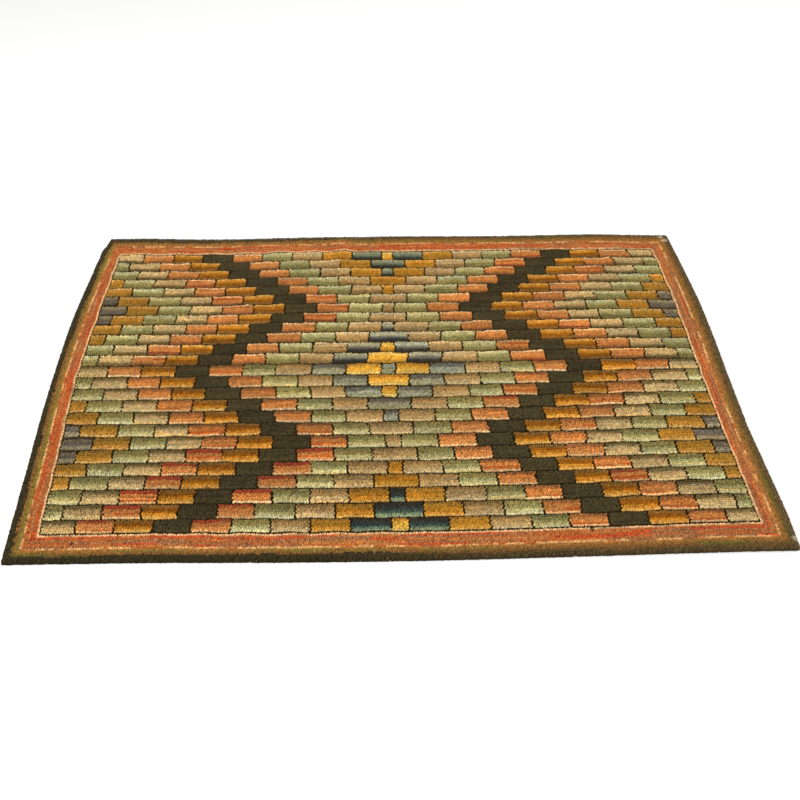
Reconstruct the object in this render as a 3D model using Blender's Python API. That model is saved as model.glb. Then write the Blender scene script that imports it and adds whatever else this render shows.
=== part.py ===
"""Hooked rug lying flat: burlap and its wool pile as one slab, in metres, +Z up.

+X runs along the rug's wider way, +Y away from its near edge, and the origin is on the floor under
the middle of its box. Colours and single loops aren't modelled: the solid reaches as far as the pile.
"""

import math

import bmesh
import bpy

# Driving dimensions
WIDTH = 1.2245
DEPTH = 1.0940
THICKNESS = 0.0080

# The rug's sides aren't straight: how far each lies inside the box, in metres, at shares along it
LEFT_SIDE = (  # share of the way from near to far, inset
    (0.00, 0.0045),
    (0.25, 0.0020),
    (0.36, 0.0000),
    (0.46, 0.0000),
    (0.63, 0.0028),
    (0.70, 0.0058),
    (0.93, 0.0240),
    (0.97, 0.0280),
    (1.00, 0.0410),
)
RIGHT_SIDE = (  # share of the way from near to far, inset
    (0.00, 0.0025),
    (0.08, 0.0005),
    (0.30, 0.0065),
    (0.42, 0.0050),
    (0.60, 0.0005),
    (0.66, 0.0000),
    (0.74, 0.0000),
    (0.88, 0.0060),
    (1.00, 0.0120),
)
NEAR_SIDE = (  # share of the way from left to right, inset
    (0.00, 0.0080),
    (0.18, 0.0070),
    (0.35, 0.0015),
    (0.48, 0.0000),
    (0.57, 0.0000),
    (0.75, 0.0040),
    (0.92, 0.0080),
    (1.00, 0.0080),
)
FAR_SIDE = (  # share of the way from left to right, inset
    (0.00, 0.0000),
    (0.06, 0.0000),
    (0.15, 0.0052),
    (0.21, 0.0080),
    (0.29, 0.0062),
    (0.35, 0.0022),
    (0.50, 0.0020),
    (0.60, 0.0047),
    (0.74, 0.0052),
    (0.88, 0.0028),
    (1.00, 0.0115),
)
BLEND = 0.03  # share of a side over which its bends are rounded

# The edge of the pile, from the folded hem on the floor to the loops' tops
RIM = (  # inset from the edge, share of the thickness
    (0.0020, 0.00),
    (0.0002, 0.22),
    (0.0000, 0.55),
    (0.0014, 0.84),
    (0.0042, 1.00),
)

# A low pucker that runs in from the far edge, lifting burlap and pile alike
PUCKER_X = -0.089
PUCKER_HALF_WIDTH = 0.034
PUCKER_LENGTH = 0.270
PUCKER_RISE = 0.030
PUCKER_HEIGHT = 0.0038

# Slow unevenness of the pile's top
WAVE_HEIGHT = 0.0004
WAVE_LENGTHS = (0.31, 0.23)  # along X and along Y

CELLS_X = 36
CELLS_Y = 34
PUCKER_LINES = (-0.9, -0.6, -0.3, 0.0, 0.3, 0.6, 0.9)  # extra grid lines, in shares of its half width

WOOL_COLOUR = (0.36, 0.24, 0.11, 1.0)
WOOL_ROUGHNESS = 0.95


def between(rows, share):
    """The second column of rows at a share of the first, on straight lines."""
    for (start, low), (end, high) in zip(rows, rows[1:]):
        if share <= end:
            return low + (high - low) * (share - start) / (end - start)
    return rows[-1][1]


def inset_at(rows, share):
    """The inset of a side at a share along it, its bends rounded."""
    steps = (-1.0, -0.5, 0.0, 0.5, 1.0)
    shares = [min(1.0, max(0.0, share + BLEND * step)) for step in steps]
    return sum(between(rows, place) for place in shares) / len(steps)


def spot(across, along, inset):
    """The (x, y) at shares of the rug's width and depth, on an outline drawn in by inset."""
    left = -WIDTH / 2 + inset_at(LEFT_SIDE, along) + inset
    right = WIDTH / 2 - inset_at(RIGHT_SIDE, along) - inset
    near = -DEPTH / 2 + inset_at(NEAR_SIDE, across) + inset
    far = DEPTH / 2 - inset_at(FAR_SIDE, across) - inset
    return left + across * (right - left), near + along * (far - near)


def bump(value):
    """A smooth hill, 1 at 0 and exactly 0 from 1 outwards."""
    return 0.5 + 0.5 * math.cos(math.pi * min(1.0, abs(value)))


def lift_at(x, y):
    """How far the pucker lifts the rug off the floor."""
    from_edge = DEPTH / 2 - y
    rise = 1.0 - bump(from_edge / PUCKER_RISE)
    fade = bump(from_edge / PUCKER_LENGTH)
    return PUCKER_HEIGHT * bump((x - PUCKER_X) / PUCKER_HALF_WIDTH) * rise * fade


def wave_at(x, y):
    along_x = math.sin(2 * math.pi * x / WAVE_LENGTHS[0])
    along_y = math.sin(2 * math.pi * y / WAVE_LENGTHS[1])
    return WAVE_HEIGHT * along_x * along_y


def grid_shares():
    """Shares of the width and of the depth where the grid lines run, closer together at the pucker."""
    across = [i / CELLS_X for i in range(CELLS_X + 1)]
    focus = [(PUCKER_X + line * PUCKER_HALF_WIDTH) / WIDTH + 0.5 for line in PUCKER_LINES]
    apart = 0.3 / CELLS_X
    across = [share for share in across if all(abs(share - line) > apart for line in focus)]
    along = [i / CELLS_Y for i in range(CELLS_Y + 1)]
    return sorted(across + focus), along


def add_level(mesh, across, along, inset, height):
    """One grid of points at a level of the rim, as rows of BMesh points."""
    rows = []
    for v in along:
        row = []
        for u in across:
            x, y = spot(u, v, inset)
            top = wave_at(x, y) * height / THICKNESS
            row.append(mesh.verts.new((x, y, lift_at(x, y) + height + top)))
        rows.append(row)
    return rows


def edge_loop(rows):
    """The outer points of a grid, anticlockwise seen from above."""
    near = rows[0]
    right = [row[-1] for row in rows[1:]]
    far = rows[-1][-2::-1]
    left = [row[0] for row in rows[-2:0:-1]]
    return near + right + far + left


def add_ring(mesh, across, along, inset, height):
    """The outer points of a level alone, in the order of edge_loop."""
    shares = [(u, 0.0) for u in across]
    shares += [(1.0, v) for v in along[1:]]
    shares += [(u, 1.0) for u in across[-2::-1]]
    shares += [(0.0, v) for v in along[-2:0:-1]]
    ring = []
    for u, v in shares:
        x, y = spot(u, v, inset)
        ring.append(mesh.verts.new((x, y, lift_at(x, y) + height)))
    return ring


def fill_grid(mesh, rows, facing_up):
    for low, high in zip(rows, rows[1:]):
        for i in range(len(low) - 1):
            corners = (low[i], low[i + 1], high[i + 1], high[i])
            mesh.faces.new(corners if facing_up else corners[::-1])


def bridge(mesh, lower, upper):
    count = len(lower)
    for i in range(count):
        j = (i + 1) % count
        mesh.faces.new((lower[i], lower[j], upper[j], upper[i]))


def wool_material():
    material = bpy.data.materials.new("hooked_wool")
    material.use_nodes = True
    shader = material.node_tree.nodes["Principled BSDF"]
    shader.inputs["Base Color"].default_value = WOOL_COLOUR
    shader.inputs["Roughness"].default_value = WOOL_ROUGHNESS
    shader.inputs["Metallic"].default_value = 0.0
    material.diffuse_color = WOOL_COLOUR
    return material


def make_rug():
    across, along = grid_shares()
    mesh = bmesh.new()
    bottom = add_level(mesh, across, along, RIM[0][0], RIM[0][1] * THICKNESS)
    top = add_level(mesh, across, along, RIM[-1][0], RIM[-1][1] * THICKNESS)
    fill_grid(mesh, bottom, facing_up=False)
    fill_grid(mesh, top, facing_up=True)
    rings = [edge_loop(bottom)]
    for inset, share in RIM[1:-1]:
        rings.append(add_ring(mesh, across, along, inset, share * THICKNESS))
    rings.append(edge_loop(top))
    for lower, upper in zip(rings, rings[1:]):
        bridge(mesh, lower, upper)
    data = bpy.data.meshes.new("rug")
    mesh.to_mesh(data)
    mesh.free()
    data.materials.append(wool_material())
    data.shade_smooth()
    rug = bpy.data.objects.new("rug", data)
    bpy.context.scene.collection.objects.link(rug)
    return rug


def main():
    for old in list(bpy.data.objects):
        bpy.data.objects.remove(old, do_unlink=True)
    make_rug()


main()
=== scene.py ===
"""Looks of the hooked rug: a burlap sheet with its turned hem, and every wool loop hooked through it.

Metres, +Z up, +Y away from the near edge. The chart that says what colour a loop has runs from
-1 to 1 between the dark side lines, and from share 0 at the far dark line to share 1 at the near one.
"""

import math

import bpy
import numpy as np
from mathutils import Matrix, Vector


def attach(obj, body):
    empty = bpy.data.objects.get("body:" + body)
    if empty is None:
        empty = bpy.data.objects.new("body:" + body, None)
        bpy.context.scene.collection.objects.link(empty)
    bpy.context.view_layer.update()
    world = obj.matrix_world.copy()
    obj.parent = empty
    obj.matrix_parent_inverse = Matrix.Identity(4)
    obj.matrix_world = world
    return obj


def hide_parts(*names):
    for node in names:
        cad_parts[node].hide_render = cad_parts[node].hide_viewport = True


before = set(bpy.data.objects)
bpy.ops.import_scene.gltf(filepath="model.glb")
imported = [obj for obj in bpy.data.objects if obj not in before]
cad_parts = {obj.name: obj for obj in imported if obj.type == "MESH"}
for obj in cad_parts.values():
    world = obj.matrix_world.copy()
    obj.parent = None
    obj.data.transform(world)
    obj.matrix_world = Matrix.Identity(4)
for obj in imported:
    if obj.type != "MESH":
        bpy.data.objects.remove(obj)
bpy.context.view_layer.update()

MM = 0.001
DRAW = np.random.default_rng(1907)

# The rug's size and outline, as in the solid
WIDTH = 1.2245
DEPTH = 1.0940
THICKNESS = 0.0080

LEFT_SIDE = (  # share of the way from near to far, inset
    (0.00, 0.0045),
    (0.25, 0.0020),
    (0.36, 0.0000),
    (0.46, 0.0000),
    (0.63, 0.0028),
    (0.70, 0.0058),
    (0.93, 0.0240),
    (0.97, 0.0280),
    (1.00, 0.0410),
)
RIGHT_SIDE = (  # share of the way from near to far, inset
    (0.00, 0.0025),
    (0.08, 0.0005),
    (0.30, 0.0065),
    (0.42, 0.0050),
    (0.60, 0.0005),
    (0.66, 0.0000),
    (0.74, 0.0000),
    (0.88, 0.0060),
    (1.00, 0.0120),
)
NEAR_SIDE = (  # share of the way from left to right, inset
    (0.00, 0.0080),
    (0.18, 0.0070),
    (0.35, 0.0015),
    (0.48, 0.0000),
    (0.57, 0.0000),
    (0.75, 0.0040),
    (0.92, 0.0080),
    (1.00, 0.0080),
)
FAR_SIDE = (  # share of the way from left to right, inset
    (0.00, 0.0000),
    (0.06, 0.0000),
    (0.15, 0.0052),
    (0.21, 0.0080),
    (0.29, 0.0062),
    (0.35, 0.0022),
    (0.50, 0.0020),
    (0.60, 0.0047),
    (0.74, 0.0052),
    (0.88, 0.0028),
    (1.00, 0.0115),
)
BLEND = 0.03  # share of a side over which its bends are rounded

# The pucker that runs in from the far edge, and the unevenness of the top
PUCKER_X = -0.089
PUCKER_HALF_WIDTH = 0.034
PUCKER_LENGTH = 0.270
PUCKER_RISE = 0.030
PUCKER_HEIGHT = 0.0038
WAVE_HEIGHT = 0.0004
WAVE_LENGTHS = (0.31, 0.23)

# The border, from the rug's edge inwards
BANDS = (  # wool, rows, width in mm at the sides, at the near edge, at the far edge
    ("brown", 7, 23.1, 25.4, 34.0),
    ("outer pale", 1, 3.6, 4.8, 4.8),
    ("rust", 6, 16.5, 27.3, 24.6),
    ("inner pale", 1, 3.6, 4.8, 4.8),
    ("outline", 1, 4.0, 5.2, 5.5),
)
LAST_RUST = 13  # the row inside which the inner pale line lies
# How many of the outermost rows are of the dark edge wool, and how faded it is, by share of the way
EDGE_ROWS = {
    "left": ((0.05, 3.6), (0.30, 3.3), (0.50, 2.8), (0.70, 3.6), (0.95, 3.6)),
    "right": ((0.05, 3.0), (0.30, 2.0), (0.50, 2.8), (0.70, 3.4), (0.95, 2.8)),
    "near": ((0.08, 2.7), (0.30, 3.4), (0.46, 3.6), (0.55, 2.2), (0.70, 1.8), (0.95, 1.6)),
    "far": ((0.08, 3.9), (0.30, 3.4), (0.45, 2.6), (0.55, 2.0), (0.92, 1.7)),
}
EDGE_FADE = {
    "left": ((0.0, 0.1), (1.0, 0.2)),
    "right": ((0.0, 0.9), (1.0, 0.8)),
    "near": ((0.40, 0.1), (0.60, 0.5), (1.0, 0.8)),
    "far": ((0.0, 0.4), (1.0, 0.7)),
}
# How far in the dark outline runs, in mm, since the border isn't even
LEFT_BORDER = ((0.09, 48.6), (0.32, 47.5), (0.50, 44.5), (0.68, 48.5), (0.91, 42.7))
RIGHT_BORDER = ((0.09, 50.0), (0.32, 47.5), (0.50, 51.5), (0.68, 53.0), (0.91, 49.2))
NEAR_BORDER = ((0.09, 65.3), (0.50, 65.5), (0.70, 64.4), (0.91, 66.9))
FAR_BORDER = ((0.09, 77.0), (0.30, 70.5), (0.50, 73.5), (0.70, 69.8), (0.91, 72.0))

# The field: courses of bricks, counted from the far side, each of 7 rows and a dark one
COURSES = 25
ROWS_PER_COURSE = 8
CENTRE_COURSE = 12
POINT_STEPS = 6  # courses from the centre course to those in which the zigzags turn
COURSE_SHIFTS = (  # course, how far its far line lies towards the far side, in shares of the field
    (0, 0.0000),
    (5, 0.0090),
    (9, 0.0118),
    (12, 0.0112),
    (20, 0.0020),
    (22, 0.0022),
    (24, -0.0030),
    (25, 0.0000),
)
HALF_FIELD = 562.0  # mm on the chart
BRICK = 62.5
BRICKS_A_SIDE = 11
ROW_BRICKS = 2 * BRICKS_A_SIDE + 1
FIRST_JOINT_EVEN = 12.4
FIRST_JOINT_ODD = 36.0
JOINT_STRAY = 0.8  # mm
JOINT_SLANT = 0.14  # mm a row
JOINT_REACH = 0.46  # of a loop's length, within which a loop lies on a joint
JOINT_LOOP = 0.85  # how long such a loop is, in loops
DARK = 7  # the number of the dark row in its course
DARK_ROW = 0.80  # the width of a dark row, in rows
DARK_DROP = 0.0009  # how much lower the dark loops are
LAST_SHADE = 6

# Rows and loops, in mm unless said
ROW_PITCH = 4.75
ROW_OVERLAP = 1.04
LOOP = 3.68  # from one loop to the next along a row
SIDE_LOOP = 4.6  # the same along the side borders
FIRST_LOOP = 0.25  # of a loop, where a row starts
STAGGER = 0.5  # of a loop, from one row to the next
START_STRAY = 0.12  # of a loop
LOOP_STRAY = 0.06  # of a loop
FIELD_RING = 100  # the number under which the field's loops are kept

# Gentle waves that make the rows look drawn by hand
SWAY = (0.22, 0.34)  # mm, across and along
SWAY_COUNT = 9
SWAY_TURNS_X = (5.0, 17.0)  # turns a metre
SWAY_TURNS_Y = (7.0, 19.0)
SWAY_START = 0.008  # how far from the edge they start
SWAY_FADE = 0.050
SWAY_MIDDLE = 1.1  # their strength in the middle
SWAY_GROWTH = 0.8  # how much stronger they are at the far edge than at the near one

# How much the wool differs from brick to brick, strip to strip and loop to loop
BRICK_TONE = 0.035
STRIP_TONE = 0.045
STRIP_WARMTH = 0.025
WARM_SHIFT = (1.0, 0.0, -1.5)  # what warmth does to red, green and blue
LOOP_TONE = 0.075
SPLIT_CHANCE = 0.4  # of a brick's row being hooked with two strips
SPLIT_PLACES = (0.2, 0.8)

# How far the hooked bricks stray sideways from the even chart, in mm
STRAY_ACROSS = (-0.9, -0.4, -0.1, 0.3, 0.7)
STRAYS = (  # share of the way from the far line to the near one, mm at each place across
    (0.0, (0.0, 0.0, 0.0, 0.0, -2.0)),
    (0.3, (0.0, -5.0, -4.0, 1.0, 0.0)),
    (0.6, (3.0, -6.0, -5.0, 1.0, -1.0)),
    (1.0, (1.0, -7.0, -6.0, 4.0, 2.0)),
)

# Families of bricks, by how many bricks outwards from the first ring
OUTER_RINGS = (
    "tan",
    "green",
    "salmon",
    "zigzag",
    "gold",
    "salmon",
    "beige",
    "green",
    "flat gold",
    "slate",
)
NEAR_CENTRE_RINGS = ("blue", "bright gold", "grey blue")
FAR_CENTRE_RINGS = ("ochre", "teal", "bright gold")

# Shades of a brick by row, 0 on its dark side, which faces the centre course, and 6 on its pale side
SHADES = {  # row, colour as seen
    "tan": (
        (0, (128, 100, 58)),
        (2, (160, 127, 78)),
        (5, (184, 153, 102)),
        (6, (200, 172, 122)),
    ),
    "green": (
        (0, (119, 107, 60)),
        (2, (129, 119, 70)),
        (3, (147, 138, 86)),
        (5, (180, 168, 116)),
        (6, (188, 177, 126)),
    ),
    "salmon": (
        (0, (130, 84, 48)),
        (1, (152, 95, 50)),
        (2, (182, 114, 57)),
        (5, (188, 124, 66)),
        (6, (208, 165, 115)),
    ),
    "gold": (
        (0, (124, 88, 42)),
        (2, (130, 78, 18)),
        (3, (149, 90, 19)),
        (4, (177, 116, 31)),
        (6, (198, 148, 75)),
    ),
    "beige": (
        (0, (102, 84, 46)),
        (1, (120, 99, 60)),
        (2, (165, 138, 92)),
        (3, (184, 152, 100)),
        (6, (198, 170, 116)),
    ),
    "slate": (
        (0, (74, 60, 46)),
        (1, (105, 93, 76)),
        (3, (100, 88, 72)),
        (5, (135, 122, 94)),
        (6, (128, 114, 84)),
    ),
    "blue": (
        (0, (77, 69, 54)),
        (1, (100, 94, 80)),
        (2, (104, 98, 80)),
        (3, (138, 133, 106)),
        (6, (152, 147, 112)),
    ),
    "far blue": (
        (0, (52, 46, 38)),
        (1, (56, 53, 46)),
        (2, (89, 85, 74)),
        (4, (156, 151, 121)),
        (6, (165, 158, 123)),
    ),
    "teal": (
        (0, (52, 44, 34)),
        (3, (52, 62, 58)),
        (4, (63, 79, 67)),
        (5, (102, 117, 92)),
        (6, (135, 142, 110)),
    ),
    "far teal": (
        (0, (54, 48, 34)),
        (1, (58, 58, 45)),
        (3, (109, 117, 94)),
        (5, (138, 138, 106)),
        (6, (150, 145, 110)),
    ),
    "ochre": (
        (0, (142, 99, 35)),
        (1, (158, 112, 39)),
        (3, (165, 112, 32)),
        (5, (186, 130, 45)),
        (6, (198, 150, 75)),
    ),
    "flat gold": (
        (0, (138, 101, 41)),
        (3, (163, 113, 36)),
        (5, (180, 130, 58)),
        (6, (192, 150, 84)),
    ),
    "bright gold": (
        (0, (167, 115, 42)),
        (2, (206, 149, 50)),
        (3, (213, 159, 55)),
        (6, (208, 172, 92)),
    ),
    "grey blue": (
        (0, (142, 140, 114)),
        (6, (150, 146, 102)),
    ),
    "zigzag": (
        (0, (66, 57, 35)),
        (6, (66, 57, 35)),
    ),
}

# Salmon strips that are redder: the shades, from which course on, and how likely where and elsewhere
RED_SHIFT = (0.94, 0.74, 0.62)
RED_ROWS = (4, 5)
RED_COURSE = 20
RED_CHANCES = (0.6, 0.08)
CRIMSON = (138, 60, 36)
CRIMSON_ROWS = (0, 1)
CRIMSON_COURSE = 19
CRIMSON_CHANCES = (0.75, 0.04)

# The near left part is a little darker in its dark rows
DULL_COURSE = 16
DULL_ROWS = (0, 1, 2, 3)
DULL_TONE = 0.92

OUTLINE_WOOL = (38, 30, 12)
EDGE_WOOL = (52, 46, 28)
FADED_EDGE_WOOL = (104, 84, 53)
BROWN_WOOL = (108, 76, 42)  # of the outer brown rows
LIGHT_BROWN_WOOL = (158, 108, 52)  # of the innermost one
BROWN_ROWS = (2, 6)  # from which row and up to which the brown gets lighter
OLIVE_SHIFT = (0.86, 1.07, 0.95)
OLIVE_CHANCE = 0.2
LEFT_OLIVE_CHANCE = 0.75
LEFT_OLIVE_ROW = 5  # from which row on it holds on the left
EDGE_WAVE = 0.35  # how many rows the dark edge waves in and out
EDGE_TURNS = 37.0
EDGE_STRAY = 0.25
PALE_WOOL = (214, 168, 118)
DIM_PALE = 0.84
DIM_CHANCE = 0.14
OUTER_PALE_SHIFT = (0.98, 0.93, 0.84)
PALE_GAP_CHANCE = 0.38
PALE_GAP_RUSTS = (1, 0, 1, 1)
RUST_WOOLS = ((174, 98, 50), (186, 80, 42), (156, 104, 66), (184, 116, 62))
RUST_CHANCES = {
    "left": (1.4, 1.3, 0.9, 0.8),
    "right": (1.0, 0.3, 1.6, 1.2),
    "near": (1.4, 0.6, 1.3, 0.9),
    "far": (1.6, 0.5, 0.8, 1.5),
    "inner": (1.4, 1.8, 0.3, 0.8),
}
# The longest stretch of one strip, in loops
DIM_STRETCH = 14
PALE_STRETCH = 7
GAP_STRETCH = 9
RUST_STRETCH = 40
BROWN_STRETCH = 45
SHORTEST_STRETCH = 2

# Worn spots and dark nicks
MARKS = (  # x, y, radius, colour, strength
    (0.590, 0.509, 0.0065, (214, 180, 150), 0.8),
    (0.586, 0.526, 0.0055, (196, 196, 172), 0.7),
    (0.6085, -0.517, 0.0050, (205, 205, 180), 0.8),
    (0.296, -0.4856, 0.0035, (46, 37, 16), 0.9),
    (-0.508, -0.500, 0.0030, (60, 30, 15), 0.9),
)

PIECES = {  # piece: the wools that it is made of
    "pile_edge": ("edge", "brown"),
    "pile_rust": ("rust",),
    "pile_outline": ("outline",),
    "pile_zigzag": ("zigzag",),
    "pile_tan": ("tan", "ochre"),
    "pile_green": ("green",),
    "pile_salmon": ("salmon",),
    "pile_gold": ("gold", "flat gold", "bright gold"),
    "pile_beige": ("beige",),
    "pile_blue": ("slate", "blue", "teal", "grey blue"),
}

# The shape of a loop, its reach in half loops and half rows
BASE_CORNERS = np.array(((-1, -1), (1, -1), (1, 1), (-1, 1)), float)
LOOP_FACES = np.array(((4, 5, 6, 7), (0, 1, 5, 4), (1, 2, 6, 5), (2, 3, 7, 6), (3, 0, 4, 7)))
LOOP_PAINTED_SHADE = (0, 0, 0, 0, 1, 1, 1, 1)  # painted shade of each point: 0 darkest, at the loops' feet where they meet, 1 none, on top
FOOT_REACH = (1.10, 1.10)
TOP_REACH = (0.68, 0.74)
LOOP_DEPTH = 0.0024
RIM_DROP = 0.0007
RIM_FOOT = 0.0003
LEAN = 0.0004
X_STRAY = 0.00025
Y_STRAY = 0.00030
TOP_STRAY = 0.0004
TURN_STRAY = 0.12
LEAN_STRAY = 0.00025
CORNER_STRAY = 0.00018
FOOT_CELL = 0.44  # half the width of a loop's foot in its cell of the UV map
TOP_CELL = 0.20

# The stitches between the loops' feet
STITCH_REACH = (0.92, 0.50)
STITCH_TURN = 0.10
STITCH_STRAY = 0.00006
STITCH_TONE = 0.9
STITCH_MARGIN = 0.001  # from the hem

# Heights over the floor
STITCH_UNDER = 0.0005
BURLAP_UNDER = 0.0009
BURLAP_TOP = 0.0021
HEM_WIDTH = 0.032
BURLAP_COLUMNS = 61
BURLAP_ROWS = 55
BURLAP_LEVELS = (  # inset from the rug's edge, height, from the top round the fold to the hem's end
    (0.0016, BURLAP_TOP),
    (0.0006, 0.0016),
    (0.0006, 0.0007),
    (0.0020, 0.0000),
    (HEM_WIDTH - 0.001, 0.0000),
    (HEM_WIDTH, BURLAP_UNDER),
)

# The photograph's camera
CAMERA_PLACE = (-0.0776, -2.36775, 1.4504)
CAMERA_YAW = -2.225  # degrees
CAMERA_TILT = 32.481
CAMERA_ROLL = 0.345
LENS = 68.62
SENSOR = 36.0

# The studio
WORLD_LIGHT = 0.85
KEY_PLACE = (-0.9, -0.7, 2.6)
KEY_AIM = (0.0, -0.05, 0.0)
KEY_SIZE = 1.6
KEY_POWER = 46.0
FILL_PLACE = (1.4, 1.2, 2.4)
FILL_AIM = (0.0, 0.0, 0.0)
FILL_SIZE = 2.0
FILL_POWER = 20.0
FLOOR_REACH = 6.0
FLOOR_DROP = 0.0003
FLOOR_COLOUR = (0.86, 0.86, 0.85, 1.0)


def linear(colour):
    """Colours as seen, 0 to 255, as linear light."""
    share = np.clip(np.asarray(colour, float) / 255.0, 0.0, 1.0)
    return np.where(share <= 0.04045, share / 12.92, ((share + 0.055) / 1.055) ** 2.4)


def column(table, place):
    """The second column of a table at places in its first."""
    table = np.array(table, float)
    return np.interp(place, table[:, 0], table[:, 1])


def inset_at(table, share):
    """The inset of a side at shares along it, its bends rounded."""
    steps = np.array((-1.0, -0.5, 0.0, 0.5, 1.0)) * BLEND
    places = np.clip(np.asarray(share, float)[..., None] + steps, 0.0, 1.0)
    return column(table, places).mean(axis=-1)


def sides_at(across, along):
    """Where the left, right, near and far edges lie, for shares of the width and the depth."""
    left = -WIDTH / 2 + inset_at(LEFT_SIDE, along)
    right = WIDTH / 2 - inset_at(RIGHT_SIDE, along)
    near = -DEPTH / 2 + inset_at(NEAR_SIDE, across)
    far = DEPTH / 2 - inset_at(FAR_SIDE, across)
    return left, right, near, far


def spot(across, along, inset=0.0):
    """Points (x, y) at shares of the rug's width and depth, on an outline drawn in by inset."""
    left, right, near, far = sides_at(across, along)
    x = left + inset + across * (right - left - 2 * inset)
    y = near + inset + along * (far - near - 2 * inset)
    return x, y


def hill(value):
    """A smooth hill, 1 at 0 and exactly 0 from 1 outwards."""
    return 0.5 + 0.5 * np.cos(np.pi * np.minimum(1.0, np.abs(value)))


def lift_at(x, y):
    """How far the pucker lifts the rug off the floor."""
    from_edge = DEPTH / 2 - y
    rise = 1.0 - hill(from_edge / PUCKER_RISE)
    fade = hill(from_edge / PUCKER_LENGTH)
    return PUCKER_HEIGHT * hill((x - PUCKER_X) / PUCKER_HALF_WIDTH) * rise * fade


def wave_at(x, y):
    """How far the top stands above or below its even height."""
    across = np.sin(2 * np.pi * x / WAVE_LENGTHS[0])
    return WAVE_HEIGHT * across * np.sin(2 * np.pi * y / WAVE_LENGTHS[1])


def outline_insets(across, along):
    """How far in the dark outline lies from the left, right, near and far edges, in metres."""
    tables = (LEFT_BORDER, RIGHT_BORDER, NEAR_BORDER, FAR_BORDER)
    places = (along, along, across, across)
    return [column(table, place) * MM for table, place in zip(tables, places)]


def field_spot(chart, share):
    """Points (x, y) of the field at chart places -1 to 1 and at shares of the way from far to near."""
    across = 0.5 + 0.5 * chart
    along = 1.0 - share
    for _ in range(4):
        left, right, near, far = sides_at(across, along)
        from_left, from_right, from_near, from_far = outline_insets(across, along)
        start, end = from_left / (right - left), 1.0 - from_right / (right - left)
        across = start + (0.5 + 0.5 * chart) * (end - start)
        low, high = from_near / (far - near), 1.0 - from_far / (far - near)
        along = high + share * (low - high)
    return spot(across, along)


def row_share(course, inner):
    """The share of the way from the far line to the near one at which a row of a course lies."""
    wide = (ROWS_PER_COURSE - DARK_ROW) / (ROWS_PER_COURSE - 1)
    place = ROWS_PER_COURSE if inner == DARK else DARK_ROW / 2 + wide * (inner + 0.5)
    course = course + place / ROWS_PER_COURSE
    return course / COURSES - column(COURSE_SHIFTS, course)


def sway_waves():
    """The waves that move the rows: turns a metre across and along, start and size."""
    return {
        "x": DRAW.uniform(*SWAY_TURNS_X, SWAY_COUNT) * DRAW.choice((-1, 1), SWAY_COUNT),
        "y": DRAW.uniform(*SWAY_TURNS_Y, SWAY_COUNT),
        "start": DRAW.uniform(0.0, 1.0, (2, SWAY_COUNT)),
        "size": np.array(SWAY)[:, None] * MM * DRAW.uniform(0.6, 1.4, (2, SWAY_COUNT)),
    }


def swayed(x, y, waves):
    """Points moved by the waves, which fade out towards the rug's edge."""
    from_edge = np.minimum(WIDTH / 2 - np.abs(x), DEPTH / 2 - np.abs(y))
    hold = np.clip((from_edge - SWAY_START) / SWAY_FADE, 0.0, 1.0) * (SWAY_MIDDLE + SWAY_GROWTH * y / DEPTH)
    turns = x[:, None] * waves["x"] + y[:, None] * waves["y"]
    moves = []
    for start, size in zip(waves["start"], waves["size"]):
        moves.append((np.sin(2 * np.pi * (turns + start)) * size).sum(axis=1))
    return x + hold * moves[0], y + hold * moves[1]


def stray(chart, share):
    """How far the pattern strays sideways, in chart units."""
    shares = [row[0] for row in STRAYS]
    total = np.zeros_like(chart)
    for place, (_, strays) in enumerate(STRAYS):
        ends = np.zeros(len(shares))
        ends[place] = 1.0
        total += np.interp(share, shares, ends) * np.interp(chart, STRAY_ACROSS, strays)
    return total / HALF_FIELD


class Loops:
    """Rows of wool loops, collected as arrays: middle, direction, sizes, wool and colour."""

    def __init__(self):
        self.parts = []

    def add(self, x, y, step_x, step_y, half_length, half_width, wool, colour, rise, ring):
        size = len(x)
        length = np.hypot(step_x, step_y)
        self.parts.append(
            {
                "x": x,
                "y": y,
                "dx": step_x / length,
                "dy": step_y / length,
                "half_length": np.broadcast_to(half_length, size),
                "half_width": np.broadcast_to(half_width, size),
                "wool": np.broadcast_to(wool, size),
                "colour": marked(x, y, colour),
                "rise": np.broadcast_to(rise, size),
                "ring": np.broadcast_to(ring, size),
            }
        )

    def joined(self):
        return {key: np.concatenate([part[key] for part in self.parts]) for key in self.parts[0]}


def staggered(count, row):
    """Places of the loops of a row, 0 to 1, half a loop further on in every other row."""
    start = FIRST_LOOP + STAGGER * (row % 2) + DRAW.uniform(-START_STRAY, START_STRAY)
    return (np.arange(count) + start + DRAW.normal(0.0, LOOP_STRAY, count)) / count


def brick_joints():
    """The joints of each course on its two sides, in mm from the centre line, and their slants."""
    places = np.zeros((COURSES, 2, BRICKS_A_SIDE))
    for course in range(COURSES):
        even = abs(course - CENTRE_COURSE) % 2 == 0
        first = FIRST_JOINT_EVEN if even else FIRST_JOINT_ODD
        places[course] = first + np.arange(BRICKS_A_SIDE) * BRICK
    slants = DRAW.normal(0.0, JOINT_SLANT, places.shape)
    return places + DRAW.normal(0.0, JOINT_STRAY, places.shape), slants


def brick_of(joints, chart_mm):
    """The brick number from the centre, the share of the way across it, and the mm to a joint."""
    mine = joints[(chart_mm > 0).astype(int)]
    outward = np.abs(chart_mm)
    number = (outward[:, None] > mine).sum(axis=1)
    last_joint = np.take_along_axis(mine, np.maximum(number - 1, 0)[:, None], 1)[:, 0]
    inner_end = np.where(number == 0, -mine[:, 0], last_joint)
    to_joint = np.abs(outward[:, None] - mine).min(axis=1)
    return number, np.clip((outward - inner_end) / BRICK, 0.0, 1.0), to_joint


def brick_index(number, left):
    """The place of a brick in its course, counted from the left."""
    return np.where(left, BRICKS_A_SIDE - number, BRICKS_A_SIDE + number)


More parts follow.
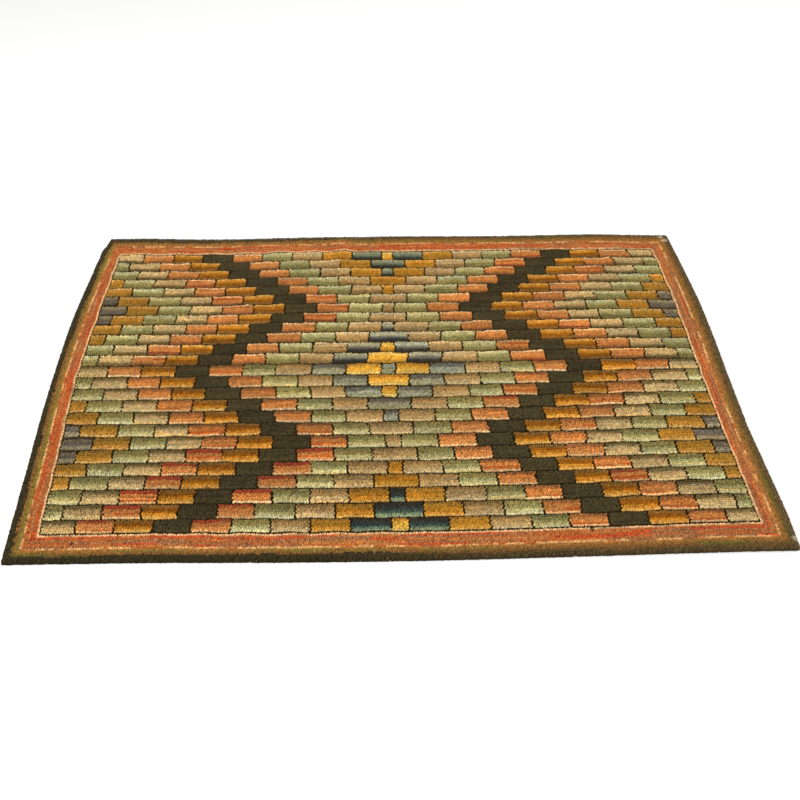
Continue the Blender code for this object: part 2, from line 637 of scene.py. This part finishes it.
def family_of(course, number):
    """The wool of the bricks of a course, by their number from the centre."""
    steps = abs(course - CENTRE_COURSE)
    rings = number - abs(steps - POINT_STEPS) // 2
    inner = NEAR_CENTRE_RINGS if steps < POINT_STEPS else FAR_CENTRE_RINGS
    return np.array([OUTER_RINGS[ring] if ring >= 0 else inner[-ring - 1] for ring in rings])


def shades_of(name):
    """The colours of a family, by row."""
    rows = [row for row, _ in SHADES[name]]
    channels = zip(*(colour for _, colour in SHADES[name]))
    return np.stack([np.interp(np.arange(LAST_SHADE + 1), rows, values) for values in channels], axis=-1)


def brick_colours(course, shade_row, number, inside, left, wool, ladders):
    """The colours of one row of loops: its wool's shade, changed a little from strip to strip."""
    far = course < CENTRE_COURSE
    keys = ["far " + name if far and "far " + name in ladders else name for name in wool]
    colour = np.array([ladders[key][shade_row] for key in keys])
    brick = brick_index(number, left)
    two_strips = DRAW.random(ROW_BRICKS) < SPLIT_CHANCE
    split = np.where(two_strips, DRAW.uniform(*SPLIT_PLACES, ROW_BRICKS), 2.0)
    strip = (inside > split[brick]).astype(int)
    tone = DRAW.normal(1.0, STRIP_TONE, (2, ROW_BRICKS))[strip, brick]
    warm = DRAW.normal(0.0, STRIP_WARMTH, (2, ROW_BRICKS))[strip, brick]
    colour = colour * tone[:, None] * (1.0 + warm[:, None] * np.array(WARM_SHIFT))
    if shade_row in DULL_ROWS:
        colour = colour * np.where(left & (course >= DULL_COURSE), DULL_TONE, 1.0)[:, None]
    chance = DRAW.random((2, ROW_BRICKS))[strip, brick]
    return reddened(colour, course, shade_row, left, wool == "salmon", chance)


def reddened(colour, course, shade_row, left, salmon, chance):
    """The colours, with some salmon strips red-orange or crimson."""
    if shade_row in RED_ROWS:
        at_point = abs(abs(course - CENTRE_COURSE) - POINT_STEPS) <= 1
        likely = left if at_point else ~left & (course >= RED_COURSE)
        colour[salmon & (chance < np.where(likely, *RED_CHANCES))] *= RED_SHIFT
    if shade_row in CRIMSON_ROWS:
        likely = left & (course >= CRIMSON_COURSE)
        colour[salmon & (chance < np.where(likely, *CRIMSON_CHANCES))] = CRIMSON
    return colour


def brick_row(course, inner, chart_mm, joints, tones, ladders):
    """The loops of one row of bricks, with a lower dark loop on each joint."""
    number, inside, to_joint = brick_of(joints, chart_mm)
    left = chart_mm < 0
    wool = family_of(course, number)
    shade_row = LAST_SHADE - inner if course < CENTRE_COURSE else inner
    colour = brick_colours(course, shade_row, number, inside, left, wool, ladders)
    colour = colour * tones[brick_index(number, left)][:, None]
    joint = to_joint <= LOOP * JOINT_REACH
    colour[joint] = OUTLINE_WOOL
    return {
        "wool": np.where(joint, "outline", wool),
        "colour": colour,
        "half_length": LOOP * MM / 2 * np.where(joint, JOINT_LOOP, 1.0),
        "half_width": ROW_PITCH * MM / 2 * ROW_OVERLAP,
        "rise": np.where(joint, -DARK_DROP, 0.0),
    }


def dark_row(count):
    """The loops of a dark row between two courses."""
    return {
        "wool": "outline",
        "colour": np.tile(OUTLINE_WOOL, (count, 1)).astype(float),
        "half_length": LOOP * MM / 2,
        "half_width": ROW_PITCH * MM / 2 * ROW_OVERLAP * DARK_ROW,
        "rise": -DARK_DROP,
    }


def field_loops(loops, waves):
    """Every row of the field between the dark outlines."""
    ladders = {name: shades_of(name) for name in SHADES}
    joints, slants = brick_joints()
    tones = DRAW.normal(1.0, BRICK_TONE, (COURSES, ROW_BRICKS))
    count = round(2 * HALF_FIELD / LOOP)
    for course in range(COURSES):
        for inner in range(ROWS_PER_COURSE if course < COURSES - 1 else DARK):
            chart = staggered(count, course * ROWS_PER_COURSE + inner) * 2.0 - 1.0
            share = np.full(count, row_share(course, inner))
            x, y = swayed(*field_spot(chart, share), waves)
            x1, y1 = swayed(*field_spot(np.clip(chart + 1.0 / count, -1, 1), share), waves)
            x0, y0 = swayed(*field_spot(np.clip(chart - 1.0 / count, -1, 1), share), waves)
            if inner == DARK:
                row = dark_row(count)
            else:
                chart_mm = (chart - stray(chart, share)) * HALF_FIELD
                slanted = joints[course] + slants[course] * (inner - LAST_SHADE // 2)
                row = brick_row(course, inner, chart_mm, slanted, tones[course], ladders)
            row["colour"] = row["colour"] * DRAW.normal(1.0, LOOP_TONE, (count, 1))
            loops.add(x, y, x1 - x0, y1 - y0, ring=FIELD_RING, **row)


def ring_insets():
    """For each border row: its band, its insets at side, near and far, and its widths there, in metres."""
    done = np.zeros(3)
    rows = []
    for band, count, *widths in BANDS:
        width = np.array(widths) / count
        for _ in range(count):
            rows.append((band, (done + width / 2) * MM, width * MM))
            done = done + width
    return rows


def border_side(side, inset, full, shares):
    """Points of one border row along one side, at shares of the way between its corners."""
    level = side in ("near", "far")
    end = np.full(len(shares), 0.0 if side in ("near", "left") else 1.0)
    across, along = (shares, end) if level else (end, shares)
    for _ in range(4):
        left, right, near, far = sides_at(across, along)
        from_left, from_right, from_near, from_far = outline_insets(across, along)
        low_x = inset[0] * (from_left / full[0]) / (right - left)
        high_x = 1.0 - inset[0] * (from_right / full[0]) / (right - left)
        low_y = inset[1] * (from_near / full[1]) / (far - near)
        high_y = 1.0 - inset[2] * (from_far / full[2]) / (far - near)
        if level:
            across = low_x + shares * (high_x - low_x)
            along = low_y if side == "near" else high_y
        else:
            along = low_y + shares * (high_y - low_y)
            across = low_x if side == "left" else high_x
    return spot(across, along)


def stretches(count, longest, chances):
    """A random choice for each loop of a row, the same over stretches of up to so many loops."""
    ends = np.cumsum(DRAW.integers(SHORTEST_STRETCH, longest, count))
    chosen = DRAW.choice(len(chances), count + 1, p=np.array(chances) / sum(chances))
    return chosen[np.searchsorted(ends, np.arange(count), side="right")]


def inner_pale_row(count):
    """The pale line beside the field, dimmer here and there."""
    dim = stretches(count, DIM_STRETCH, (1.0 - DIM_CHANCE, DIM_CHANCE)) == 1
    return np.array(PALE_WOOL) * np.where(dim, DIM_PALE, 1.0)[:, None]


def outer_pale_row(count):
    """The pale line between brown and rust, with gaps of rust."""
    gap = stretches(count, PALE_STRETCH, (1.0 - PALE_GAP_CHANCE, PALE_GAP_CHANCE)) == 1
    rust = np.array(RUST_WOOLS, float)[stretches(count, GAP_STRETCH, PALE_GAP_RUSTS)]
    return np.where(gap[:, None], rust, np.array(PALE_WOOL) * OUTER_PALE_SHIFT)


def brown_row(ring, side, shares):
    """A row of the brown band, whose outermost loops are of the dark edge wool."""
    count = len(shares)
    share_in = np.clip((ring - BROWN_ROWS[0]) / (BROWN_ROWS[1] - BROWN_ROWS[0]), 0.0, 1.0)
    brown = np.array(BROWN_WOOL) + share_in * np.subtract(LIGHT_BROWN_WOOL, BROWN_WOOL)
    colour = np.tile(brown, (count, 1))
    olive = LEFT_OLIVE_CHANCE if side == "left" and ring >= LEFT_OLIVE_ROW else OLIVE_CHANCE
    colour[stretches(count, BROWN_STRETCH, (1.0 - olive, olive)) == 1] *= OLIVE_SHIFT
    wavy = EDGE_WAVE * np.sin(shares * EDGE_TURNS + ring) + DRAW.normal(0.0, EDGE_STRAY, count)
    dark = ring + 0.5 < column(EDGE_ROWS[side], shares) + wavy
    fade = column(EDGE_FADE[side], shares)[:, None]
    edge = np.array(EDGE_WOOL) + fade * np.subtract(FADED_EDGE_WOOL, EDGE_WOOL)
    return np.where(dark, "edge", "brown"), np.where(dark[:, None], edge, colour)


def border_colour(band, ring, side, shares):
    """Which wool each loop of one border row is of, on one side, and the colours."""
    count = len(shares)
    wool = "rust"
    if band == "outline":
        wool, colour = band, np.tile(OUTLINE_WOOL, (count, 1)).astype(float)
    elif band == "inner pale":
        colour = inner_pale_row(count)
    elif band == "outer pale":
        colour = outer_pale_row(count)
    elif band == "rust":
        chances = RUST_CHANCES["inner" if ring == LAST_RUST else side]
        colour = np.array(RUST_WOOLS, float)[stretches(count, RUST_STRETCH, chances)]
    else:
        wool, colour = brown_row(ring, side, shares)
    return wool, colour * DRAW.normal(1.0, LOOP_TONE, (count, 1))


def marked(x, y, colour):
    """Colours with the worn spots and dark nicks laid over them."""
    for place_x, place_y, radius, mark, strength in MARKS:
        distance = np.hypot(x - place_x, y - place_y)
        share = strength * np.clip(1.5 - distance / radius, 0.0, 1.0)[:, None]
        colour = colour + share * (np.array(mark) - colour)
    return colour


def border_loops(loops, waves):
    """The rows of the border, from the edge inwards, each along all four sides."""
    rows = ring_insets()
    full = rows[-1][1]
    for ring, (band, inset, width) in enumerate(rows):
        widths = {"left": width[0], "right": width[0], "near": width[1], "far": width[2]}
        for side in ("near", "right", "far", "left"):
            level = side in ("near", "far")
            length = WIDTH - 2 * inset[0] if level else DEPTH - inset[1] - inset[2]
            pitch = (LOOP if level else SIDE_LOOP) * MM
            count = round(length / pitch)
            shares = staggered(count, ring)
            x, y = swayed(*border_side(side, inset, full, shares), waves)
            after = np.clip(shares + 0.5 / count, 0, 1)
            before = np.clip(shares - 0.5 / count, 0, 1)
            x1, y1 = swayed(*border_side(side, inset, full, after), waves)
            x0, y0 = swayed(*border_side(side, inset, full, before), waves)
            way = -1.0 if side in ("left", "far") else 1.0
            wool, colour = border_colour(band, ring, side, shares)
            row = {
                "wool": wool,
                "colour": colour,
                "half_length": pitch / 2,
                "half_width": widths[side] / 2,
                "rise": -DARK_DROP if band == "outline" else 0.0,
            }
            loops.add(x, y, way * (x1 - x0), way * (y1 - y0), ring=ring, **row)


def patch(x, y, part, turn, reach, lean=0.0):
    """The corners (x, y) of a patch on each loop, turned, with its reach along and across the row."""
    along_x = (part["dx"] * np.cos(turn) - part["dy"] * np.sin(turn))[:, None]
    along_y = (part["dx"] * np.sin(turn) + part["dy"] * np.cos(turn))[:, None]
    along = BASE_CORNERS[:, 0] * reach[0] * part["half_length"][:, None] + lean
    across = BASE_CORNERS[:, 1] * reach[1] * part["half_width"][:, None]
    return x[:, None] + along * along_x - across * along_y, y[:, None] + along * along_y + across * along_x


def pile_piece(name, wools, all_loops, material):
    """One mesh with every loop of the wools, eight points and five faces to a loop."""
    chosen = np.isin(all_loops["wool"], wools)
    part = {key: values[chosen] for key, values in all_loops.items()}
    size = len(part["x"])
    rim = part["ring"] == 0
    x = part["x"] + DRAW.normal(0.0, X_STRAY, size)
    y = part["y"] + DRAW.normal(0.0, Y_STRAY, size)
    lift = lift_at(x, y)
    top = lift + THICKNESS + wave_at(x, y) + part["rise"] - RIM_DROP * rim + DRAW.normal(0.0, TOP_STRAY, size)
    foot = np.where(rim, lift + RIM_FOOT, top - LOOP_DEPTH)
    turn = DRAW.normal(0.0, TURN_STRAY, size)
    lean = (LEAN + DRAW.normal(0.0, LEAN_STRAY, size))[:, None]
    points = np.zeros((size, 8, 3))
    points[:, :4, 0], points[:, :4, 1] = patch(x, y, part, np.zeros(size), FOOT_REACH)
    points[:, 4:, 0], points[:, 4:, 1] = patch(x, y, part, turn, TOP_REACH, lean)
    points[:, :4, 2] = foot[:, None]
    points[:, 4:, 2] = top[:, None]
    points[:, 4:, 2] += DRAW.normal(0.0, CORNER_STRAY, (size, 4))
    cell = np.concatenate((BASE_CORNERS * FOOT_CELL, BASE_CORNERS * TOP_CELL)) + 0.5
    # the loops' lower points get painted shade, where neighbouring loops meet
    return wool_piece(name, points, LOOP_FACES, part["colour"], LOOP_PAINTED_SHADE, cell, material)


def stitch_piece(all_loops, material):
    """The underside, inside the hem: one flat stitch between the feet of each loop."""
    x, y = all_loops["x"], all_loops["y"]
    left, right, near, far = sides_at(x / WIDTH + 0.5, y / DEPTH + 0.5)
    from_edge = np.minimum(np.minimum(x - left, right - x), np.minimum(y - near, far - y))
    chosen = from_edge > HEM_WIDTH + STITCH_MARGIN
    part = {key: values[chosen] for key, values in all_loops.items()}
    size = len(part["x"])
    turn = DRAW.normal(0.0, STITCH_TURN, size)
    points = np.zeros((size, 4, 3))
    points[:, :, 0], points[:, :, 1] = patch(part["x"], part["y"], part, turn, STITCH_REACH)
    height = lift_at(part["x"], part["y"]) + STITCH_UNDER
    points[:, :, 2] = height[:, None] + DRAW.normal(0.0, STITCH_STRAY, (size, 4))
    faces = np.array(((3, 2, 1, 0),))
    cell = BASE_CORNERS * FOOT_CELL + 0.5
    return wool_piece("stitches", points, faces, part["colour"] * STITCH_TONE, 1.0, cell, material)


def wool_piece(name, points, faces, colour, depth, cell, material):
    """A mesh of many like forms, with a colour for each and painted shade at each of its points: 0 darkest, 1
    none.
    """
    size, corners = points.shape[:2]
    all_faces = (np.arange(size)[:, None, None] * corners + faces).reshape(-1, 4)
    mesh = mesh_from(name, points.reshape(-1, 3), all_faces)
    shade = np.ones((size, corners, 4))
    shade[:, :, :3] = linear(colour)[:, None, :]
    # the fourth channel holds painted shade, darker towards the loops' feet; the stitches get none (1)
    shade[:, :, 3] = depth
    wool = mesh.color_attributes.new("wool", "FLOAT_COLOR", "POINT")
    wool.data.foreach_set("color", shade.astype(np.float32).ravel())
    cell_map(mesh, size, cell, faces)
    mesh.materials.append(material)
    return piece_from(name, mesh)


def cell_map(mesh, size, cell, faces):
    """A UV map with one square cell for each loop or stitch."""
    cells = math.ceil(math.sqrt(size))
    place = np.stack(np.divmod(np.arange(size), cells), axis=-1)[:, ::-1]
    uv = (place[:, None, :] + cell[None]) / cells
    layer = mesh.uv_layers.new(name="OFBake")
    layer.uv.foreach_set("vector", uv[:, faces, :].astype(np.float32).ravel())


def mesh_from(name, points, faces):
    """A smooth mesh of four-sided faces."""
    mesh = bpy.data.meshes.new(name)
    mesh.vertices.add(len(points))
    mesh.vertices.foreach_set("co", np.asarray(points, np.float32).ravel())
    mesh.loops.add(faces.size)
    mesh.loops.foreach_set("vertex_index", faces.astype(np.int32).ravel())
    mesh.polygons.add(len(faces))
    mesh.polygons.foreach_set("loop_start", np.arange(len(faces), dtype=np.int32) * 4)
    mesh.update(calc_edges=True)
    mesh.validate()
    mesh.shade_smooth()
    return mesh


def piece_from(name, mesh):
    """An object for a mesh, in the scene."""
    piece = bpy.data.objects.new(name, mesh)
    bpy.context.scene.collection.objects.link(piece)
    return piece


def new_material(name):
    """A new material, its nodes, its links and its shader."""
    material = bpy.data.materials.new(name)
    material.use_nodes = True
    nodes = material.node_tree.nodes
    return material, nodes, material.node_tree.links, nodes["Principled BSDF"]


def node(nodes, kind, **settings):
    """A new node with its settings."""
    made = nodes.new(kind)
    for key, value in settings.items():
        setattr(made, key, value)
    return made


def wool_material():
    """Matt wool in the colour of each loop, flecked, with painted shade that darkens it low down where the
    loops meet.
    """
    material, nodes, links, shader = new_material("hooked_wool")
    colour = node(nodes, "ShaderNodeAttribute", attribute_name="wool")
    place = node(nodes, "ShaderNodeTexCoord")
    flecks = node(nodes, "ShaderNodeTexNoise")
    flecks.inputs["Scale"].default_value = 900.0
    flecks.inputs["Detail"].default_value = 3.0
    links.new(place.outputs["Object"], flecks.inputs["Vector"])
    fleck_range = node(nodes, "ShaderNodeMapRange")
    fleck_range.inputs["From Min"].default_value = 0.3
    fleck_range.inputs["From Max"].default_value = 0.7
    fleck_range.inputs["To Min"].default_value = 0.82
    fleck_range.inputs["To Max"].default_value = 1.16
    links.new(flecks.outputs["Fac"], fleck_range.inputs["Value"])
    # painted shade: the colour falls to 0.45 of itself at the loops' feet, where neighbours meet, and is full
    # on top
    painted_shade = node(nodes, "ShaderNodeMapRange")
    painted_shade.inputs["To Min"].default_value = 0.45
    painted_shade.inputs["To Max"].default_value = 1.0
    links.new(colour.outputs["Alpha"], painted_shade.inputs["Value"])
    fleck_and_painted_shade = node(nodes, "ShaderNodeMath", operation="MULTIPLY")
    links.new(fleck_range.outputs["Result"], fleck_and_painted_shade.inputs[0])
    links.new(painted_shade.outputs["Result"], fleck_and_painted_shade.inputs[1])
    shaded = node(nodes, "ShaderNodeVectorMath", operation="SCALE")
    links.new(colour.outputs["Color"], shaded.inputs[0])
    links.new(fleck_and_painted_shade.outputs["Value"], shaded.inputs["Scale"])
    links.new(shaded.outputs["Vector"], shader.inputs["Base Color"])
    fibres = node(nodes, "ShaderNodeTexNoise")
    fibres.inputs["Scale"].default_value = 2200.0
    fibres.inputs["Detail"].default_value = 2.0
    links.new(place.outputs["Object"], fibres.inputs["Vector"])
    bump = node(nodes, "ShaderNodeBump")
    bump.inputs["Strength"].default_value = 0.5
    bump.inputs["Distance"].default_value = 0.0004
    links.new(fibres.outputs["Fac"], bump.inputs["Height"])
    links.new(bump.outputs["Normal"], shader.inputs["Normal"])
    shader.inputs["Roughness"].default_value = 0.95
    shader.inputs["Specular IOR Level"].default_value = 0.05
    return material


def burlap_material():
    """Jute burlap: a plain weave of tan yarns, about 5 to the centimetre."""
    material, nodes, links, shader = new_material("burlap")
    place = node(nodes, "ShaderNodeTexCoord")
    weave = []
    for direction in ("X", "Y"):
        wave = node(nodes, "ShaderNodeTexWave", wave_type="BANDS", bands_direction=direction)
        wave.inputs["Scale"].default_value = 160.0
        wave.inputs["Distortion"].default_value = 1.2
        wave.inputs["Detail"].default_value = 1.0
        links.new(place.outputs["Object"], wave.inputs["Vector"])
        weave.append(wave)
    threads = node(nodes, "ShaderNodeMath", operation="MAXIMUM")
    links.new(weave[0].outputs["Fac"], threads.inputs[0])
    links.new(weave[1].outputs["Fac"], threads.inputs[1])
    ramp = node(nodes, "ShaderNodeValToRGB")
    ramp.color_ramp.elements[0].color = (*linear((86, 62, 38)), 1.0)
    ramp.color_ramp.elements[1].color = (*linear((168, 132, 88)), 1.0)
    links.new(threads.outputs["Value"], ramp.inputs["Fac"])
    links.new(ramp.outputs["Color"], shader.inputs["Base Color"])
    bump = node(nodes, "ShaderNodeBump")
    bump.inputs["Strength"].default_value = 0.6
    bump.inputs["Distance"].default_value = 0.0005
    links.new(threads.outputs["Value"], bump.inputs["Height"])
    links.new(bump.outputs["Normal"], shader.inputs["Normal"])
    shader.inputs["Roughness"].default_value = 0.95
    shader.inputs["Specular IOR Level"].default_value = 0.15
    return material


def rim_of(columns, rows):
    """The numbers of a grid's outer points, once round it."""
    near = np.arange(columns)
    right = np.arange(1, rows) * columns + columns - 1
    far = (rows - 1) * columns + np.arange(columns - 2, -1, -1)
    left = np.arange(rows - 2, 0, -1) * columns
    return np.concatenate((near, right, far, left))


def burlap_sheet():
    """The burlap with its hem turned under: one closed sheet that follows the outline and the pucker."""
    columns, rows = BURLAP_COLUMNS, BURLAP_ROWS
    across, along = np.meshgrid(np.linspace(0, 1, columns), np.linspace(0, 1, rows))
    rim = rim_of(columns, rows)
    levels = []
    for inset, height in BURLAP_LEVELS:
        x, y = spot(across.ravel(), along.ravel(), inset)
        levels.append(np.column_stack((x, y, lift_at(x, y) + height)))
    points = [levels[0]] + [level[rim] for level in levels[1:-1]] + [levels[-1]]
    starts = [across.size + len(rim) * step for step in range(len(levels) - 1)]
    rings = [rim] + [start + np.arange(len(rim)) for start in starts[:-1]] + [starts[-1] + rim]
    cells = np.arange(rows - 1)[:, None] * columns + np.arange(columns - 1)
    quads = np.stack((cells, cells + 1, cells + columns + 1, cells + columns), axis=-1).reshape(-1, 4)
    faces = [quads, starts[-1] + quads[:, ::-1]]
    for upper, lower in zip(rings, rings[1:]):
        faces.append(np.column_stack((upper, lower, np.roll(lower, -1), np.roll(upper, -1))))
    mesh = mesh_from("burlap", np.concatenate(points), np.concatenate(faces))
    mesh.materials.append(burlap_material())
    return piece_from("burlap", mesh)


def make_camera():
    """The photograph's view: from in front, above standing height."""
    data = bpy.data.cameras.new("camera")
    data.sensor_width = SENSOR
    data.lens = LENS
    camera = bpy.data.objects.new("camera", data)
    yaw = Matrix.Rotation(math.radians(CAMERA_YAW), 4, "Z")
    tilt = Matrix.Rotation(math.radians(90.0 - CAMERA_TILT), 4, "X")
    roll = Matrix.Rotation(math.radians(CAMERA_ROLL), 4, "Z")
    camera.matrix_world = Matrix.Translation(Vector(CAMERA_PLACE)) @ yaw @ tilt @ roll
    bpy.context.scene.collection.objects.link(camera)
    bpy.context.scene.camera = camera


def area_light(name, place, target, size, power):
    """A round soft light that points at a target."""
    data = bpy.data.lights.new(name, "AREA")
    data.shape = "DISK"
    data.size = size
    data.energy = power
    light = bpy.data.objects.new(name, data)
    light.location = place
    aim = Vector(target) - Vector(place)
    light.rotation_euler = aim.to_track_quat("-Z", "Y").to_euler()
    bpy.context.scene.collection.objects.link(light)


def make_studio():
    """A pale floor under soft light."""
    world = bpy.data.worlds.new("studio")
    world.use_nodes = True
    background = world.node_tree.nodes["Background"]
    background.inputs["Color"].default_value = (1.0, 1.0, 1.0, 1.0)
    background.inputs["Strength"].default_value = WORLD_LIGHT
    bpy.context.scene.world = world
    area_light("key", KEY_PLACE, KEY_AIM, KEY_SIZE, KEY_POWER)
    area_light("fill", FILL_PLACE, FILL_AIM, FILL_SIZE, FILL_POWER)
    corners = np.column_stack((BASE_CORNERS * FLOOR_REACH, np.full(4, -FLOOR_DROP)))
    mesh = mesh_from("floor", corners, np.array(((0, 1, 2, 3),)))
    material, _, _, shader = new_material("floor_paint")
    shader.inputs["Base Color"].default_value = FLOOR_COLOUR
    shader.inputs["Roughness"].default_value = 0.9
    mesh.materials.append(material)
    piece_from("floor", mesh)
    bpy.context.scene.view_settings.view_transform = "Standard"


def main():
    """The camera, the studio and every piece of the rug."""
    make_camera()
    make_studio()
    loops = Loops()
    waves = sway_waves()
    field_loops(loops, waves)
    border_loops(loops, waves)
    all_loops = loops.joined()
    wool = wool_material()
    pile = [pile_piece(name, wools, all_loops, wool) for name, wools in PIECES.items()]
    pile.append(stitch_piece(all_loops, wool))
    burlap = burlap_sheet()
    for piece in pile + [burlap]:
        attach(piece, "root")
    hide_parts("rug")


main()
